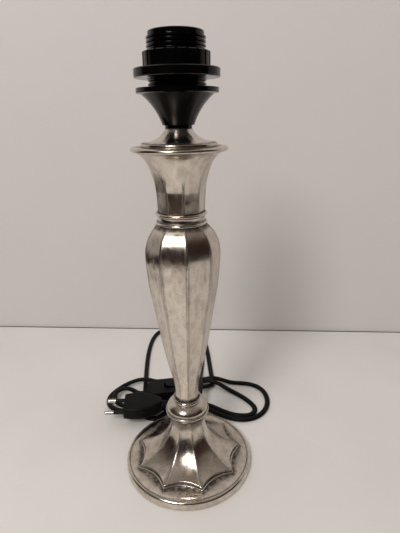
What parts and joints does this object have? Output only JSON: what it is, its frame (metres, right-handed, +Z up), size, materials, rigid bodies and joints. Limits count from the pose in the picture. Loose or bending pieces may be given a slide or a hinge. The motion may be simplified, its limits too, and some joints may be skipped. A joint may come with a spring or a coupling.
{
  "type": "candlestick table lamp",
  "caption": "Faceted baluster candlestick lamp on a round base, with screw lampholder, clamping shade ring, in-line switch and two-pin plug.",
  "frame": {"origin": "middle of the face the lamp stands on, on the stem's axis", "axes": "+Z up the stem, +X to the lamp's right, -Y to its front; the cord lies behind it"},
  "size_m": [0.1783, 0.3002, 0.3481],
  "materials": {
    "silver_plate": "satin",
    "cast_iron": "rough",
    "fibreboard": "matt",
    "felt": "matt",
    "nylon": "matt",
    "gland_rubber": "matt",
    "cord_jacket": "satin",
    "steel": "zinc plated",
    "black_plastic": "gloss",
    "core_plastic": "matt",
    "brass": "bright",
    "wire_brown": "matt",
    "wire_blue": "matt",
    "switch_plastic": "satin",
    "plug_rubber": "satin",
    "pin_metal": "bright",
    "sleeve_plastic": "matt"
  },
  "bodies": {
    "lamp": {"base_casting": "silver_plate", "base_weight": "cast_iron", "base_cover": "fibreboard", "felt_pad": "felt", "cord_anchor": "nylon", "cord_gland": "gland_rubber", "inner_lead": "cord_jacket", "threaded_rod": "steel", "bottom_washer": "steel", "bottom_nut": "steel", "knop": "silver_plate", "neck_ring": "silver_plate", "stem_casting": "silver_plate", "collar_ring": "silver_plate", "trumpet_cup": "silver_plate", "dome_cap": "silver_plate", "holder_cone": "black_plastic", "holder_barrel": "black_plastic", "holder_core": "core_plastic", "screw_shell": "brass", "centre_contact": "brass", "side_contact": "brass", "terminal_blocks": "brass", "terminal_screws": "steel", "live_wire": "wire_brown", "neutral_wire": "wire_blue", "switch_lower_case": "switch_plastic", "switch_upper_case": "switch_plastic", "switch_screws": "steel", "rocker_pin": "steel", "switch_terminals": "brass", "switch_link_bar": "brass", "switch_tail_left": "cord_jacket", "switch_tail_right": "cord_jacket", "plug_body": "plug_rubber", "plug_insert": "core_plastic", "plug_pins": "pin_metal", "plug_sleeves": "sleeve_plastic", "cord_hank": "cord_jacket", "cord_lead": "cord_jacket", "cord_link": "cord_jacket", "cord_tail": "cord_jacket"},
    "shade_ring": {"shade_ring": "black_plastic"},
    "switch_rocker": {"switch_rocker": "switch_plastic"}
  },
  "joints": [
    {"name": "shade_ring_travel", "type": "slide", "parent": "lamp", "child": "shade_ring", "axis": [0, 0, 1], "range_m": [-0.0059, 0.0118]},
    {"name": "switch_rocking", "type": "hinge", "parent": "lamp", "child": "switch_rocker", "pos_m": [-0.0155, 0.093, 0.0116], "axis": [0.1045, -0.9945, 0], "range_deg": [0, 18]}
  ]
}
